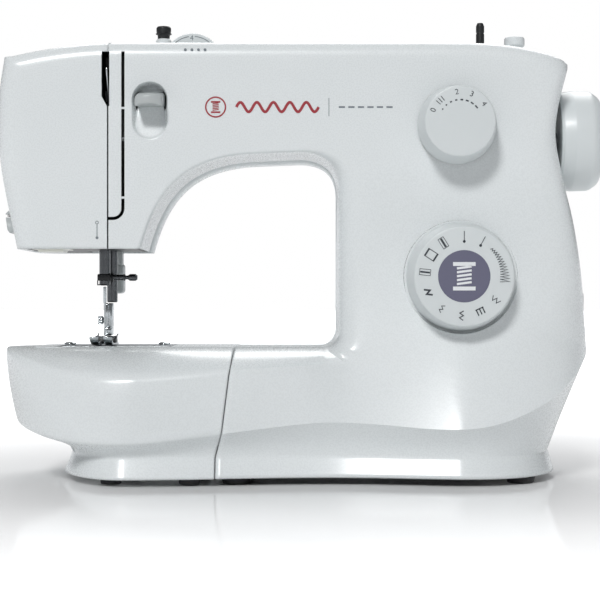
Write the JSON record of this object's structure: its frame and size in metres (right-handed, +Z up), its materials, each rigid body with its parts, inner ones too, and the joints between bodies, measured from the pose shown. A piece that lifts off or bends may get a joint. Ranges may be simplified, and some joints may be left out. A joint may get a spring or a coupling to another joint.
{
  "type": "sewing machine",
  "caption": "Compact household sewing machine with free arm, slide-on extension table, two front dials and side hand wheel.",
  "frame": {"origin": "centre of the bounding box at the feet", "axes": "+X to the hand wheel side, +Y to the back, +Z up"},
  "size_m": [0.3374, 0.148, 0.2585],
  "materials": {
    "white_cover": "moulded, satin gloss",
    "dial_plastic": "moulded, satin",
    "grey_plastic": "moulded, satin",
    "black_plastic": "moulded, matt",
    "rubber": "matt",
    "cast_frame": "die cast",
    "steel": "bright, ground",
    "dark_steel": "dark nickel",
    "chrome": "polished",
    "lens": "frosted, clear",
    "board": "lacquered"
  },
  "bodies": {
    "machine": {"chassis": "cast_frame", "front_cover": "white_cover", "rear_cover": "white_cover", "face_cover": "white_cover", "head_bottom_plate": "black_plastic", "base_plate": "grey_plastic", "free_arm_cover": "white_cover", "needle_plate": "steel", "needle_plate_screw_left": "steel", "needle_plate_screw_right": "steel", "shuttle_race": "dark_steel", "bobbin_case": "steel", "timing_belt": "rubber", "drive_belt": "rubber", "motor_housing": "dark_steel", "circuit_board": "board", "lamp_lens": "lens", "power_inlet": "black_plastic", "thread_cutter": "grey_plastic", "winder_stopper": "white_cover", "guide_post": "white_cover", "guide_cap": "black_plastic", "presser_spring": "steel", "rubber_foot_front_left": "rubber", "rubber_foot_front_right": "rubber", "rubber_foot_back_left": "rubber", "rubber_foot_back_right": "rubber"},
    "main_shaft": {"arm_shaft": "steel", "hand_wheel": "white_cover", "upper_pulley": "steel", "crank_disc": "steel"},
    "lower_shaft_line": {"lower_shaft": "steel", "lower_pulley": "steel"},
    "motor_rotor": {"motor_pulley": "steel"},
    "needle_bar_unit": {"needle_bar": "dark_steel", "needle_clamp": "dark_steel", "needle_clamp_screw": "dark_steel", "needle": "steel"},
    "take_up": {"take_up_lever": "steel"},
    "presser_unit": {"presser_bar": "dark_steel", "foot_holder": "chrome", "foot_thumb_screw": "chrome", "presser_foot": "chrome"},
    "lifter": {"presser_lifter": "grey_plastic"},
    "feed_lift_bar": {"feed_bar": "steel"},
    "feed_teeth": {"feed_dog": "steel"},
    "hook": {"shuttle_hook": "steel"},
    "bobbin_unit": {"bobbin": "steel"},
    "hook_door": {"hook_cover": "white_cover"},
    "table": {"extension_table": "white_cover"},
    "length_dial": {"stitch_length_dial": "dial_plastic"},
    "pattern_selector": {"pattern_dial": "dial_plastic", "pattern_cam_stack": "grey_plastic"},
    "reverse": {"reverse_lever": "grey_plastic"},
    "tension": {"tension_dial": "dial_plastic"},
    "winder_slide": {"winder_bracket": "grey_plastic"},
    "winder_turn": {"winder_spindle": "black_plastic"},
    "spool": {"spool_pin": "grey_plastic"},
    "handle": {"carrying_handle": "white_cover"},
    "switch": {"power_switch": "black_plastic"}
  },
  "joints": [
    {"name": "main_shaft_turn", "type": "hinge", "parent": "machine", "child": "main_shaft", "pos_m": [0, 0, 0.1908], "axis": [1, 0, 0], "continuous": true},
    {"name": "lower_shaft_turn", "type": "hinge", "parent": "machine", "child": "lower_shaft_line", "pos_m": [0, 0, 0.032], "axis": [1, 0, 0], "continuous": true},
    {"name": "motor_turn", "type": "hinge", "parent": "machine", "child": "motor_rotor", "pos_m": [0, 0.0365, 0.072], "axis": [1, 0, 0], "continuous": true},
    {"name": "needle_bar_stroke", "type": "slide", "parent": "machine", "child": "needle_bar_unit", "axis": [0, 0, -1], "range_m": [-0.01, 0.018]},
    {"name": "take_up_swing", "type": "hinge", "parent": "machine", "child": "take_up", "pos_m": [-0.1075, -0.018, 0.196], "axis": [1, 0, 0], "range_deg": [0, 24]},
    {"name": "presser_lift", "type": "slide", "parent": "machine", "child": "presser_unit", "axis": [0, 0, 1], "range_m": [0, 0.006]},
    {"name": "lifter_swing", "type": "hinge", "parent": "machine", "child": "lifter", "pos_m": [-0.1077, 0.035, 0.136], "axis": [0, 1, 0], "range_deg": [-55, 0]},
    {"name": "feed_raise", "type": "slide", "parent": "machine", "child": "feed_lift_bar", "axis": [0, 0, 1], "range_m": [0, 0.0008]},
    {"name": "feed_travel", "type": "slide", "parent": "feed_lift_bar", "child": "feed_teeth", "axis": [0, 1, 0], "range_m": [-0.002, 0.002]},
    {"name": "hook_swing", "type": "hinge", "parent": "machine", "child": "hook", "pos_m": [-0.112, 0, 0.042], "axis": [0, 1, 0], "range_deg": [-100, 100]},
    {"name": "bobbin_turn", "type": "hinge", "parent": "machine", "child": "bobbin_unit", "pos_m": [-0.112, -0.015, 0.042], "axis": [0, 1, 0], "continuous": true},
    {"name": "hook_door_swing", "type": "hinge", "parent": "machine", "child": "hook_door", "pos_m": [-0.108, -0.0317, 0.027], "axis": [1, 0, 0], "range_deg": [0, 40]},
    {"name": "table_slide", "type": "slide", "parent": "machine", "child": "table", "axis": [-1, 0, 0], "range_m": [0, 0.13]},
    {"name": "stitch_length_turn", "type": "hinge", "parent": "machine", "child": "length_dial", "pos_m": [0.0844, -0.05, 0.1955], "axis": [0, 1, 0], "range_deg": [-54, 68]},
    {"name": "pattern_turn", "type": "hinge", "parent": "machine", "child": "pattern_selector", "pos_m": [0.086, -0.06, 0.1126], "axis": [0, 1, 0], "continuous": true},
    {"name": "reverse_press", "type": "hinge", "parent": "machine", "child": "reverse", "pos_m": [-0.0833, -0.006, 0.21], "axis": [1, 0, 0], "range_deg": [0, 12], "stiffness_Nm_per_rad": 0.3, "springref_deg": -2.86},
    {"name": "tension_turn", "type": "hinge", "parent": "machine", "child": "tension", "pos_m": [-0.0611, -0.021, 0.2325], "axis": [0, 1, 0], "range_deg": [-150, 150]},
    {"name": "winder_shift", "type": "slide", "parent": "machine", "child": "winder_slide", "axis": [1, 0, 0], "range_m": [0, 0.007]},
    {"name": "winder_turn", "type": "hinge", "parent": "winder_slide", "child": "winder_turn", "pos_m": [0.1019, 0, 0.24], "axis": [0, 0, 1], "continuous": true},
    {"name": "spool_pin_pull", "type": "slide", "parent": "machine", "child": "spool", "axis": [0, 0, 1], "range_m": [0, 0.05]},
    {"name": "handle_swing", "type": "hinge", "parent": "machine", "child": "handle", "pos_m": [0, 0.058, 0.222], "axis": [1, 0, 0], "range_deg": [0, 165]},
    {"name": "switch_rock", "type": "hinge", "parent": "machine", "child": "switch", "pos_m": [0.149, -0.0125, 0.094], "axis": [0, 1, 0], "range_deg": [0, 4]}
  ],
  "couplings": [
    {"joint": "lower_shaft_turn", "follows": "main_shaft_turn", "ratio": 1},
    {"joint": "motor_turn", "follows": "main_shaft_turn", "ratio": 4.2857},
    {"joint": "lifter_swing", "follows": "presser_lift", "rad_per_m": -159.9}
  ]
}
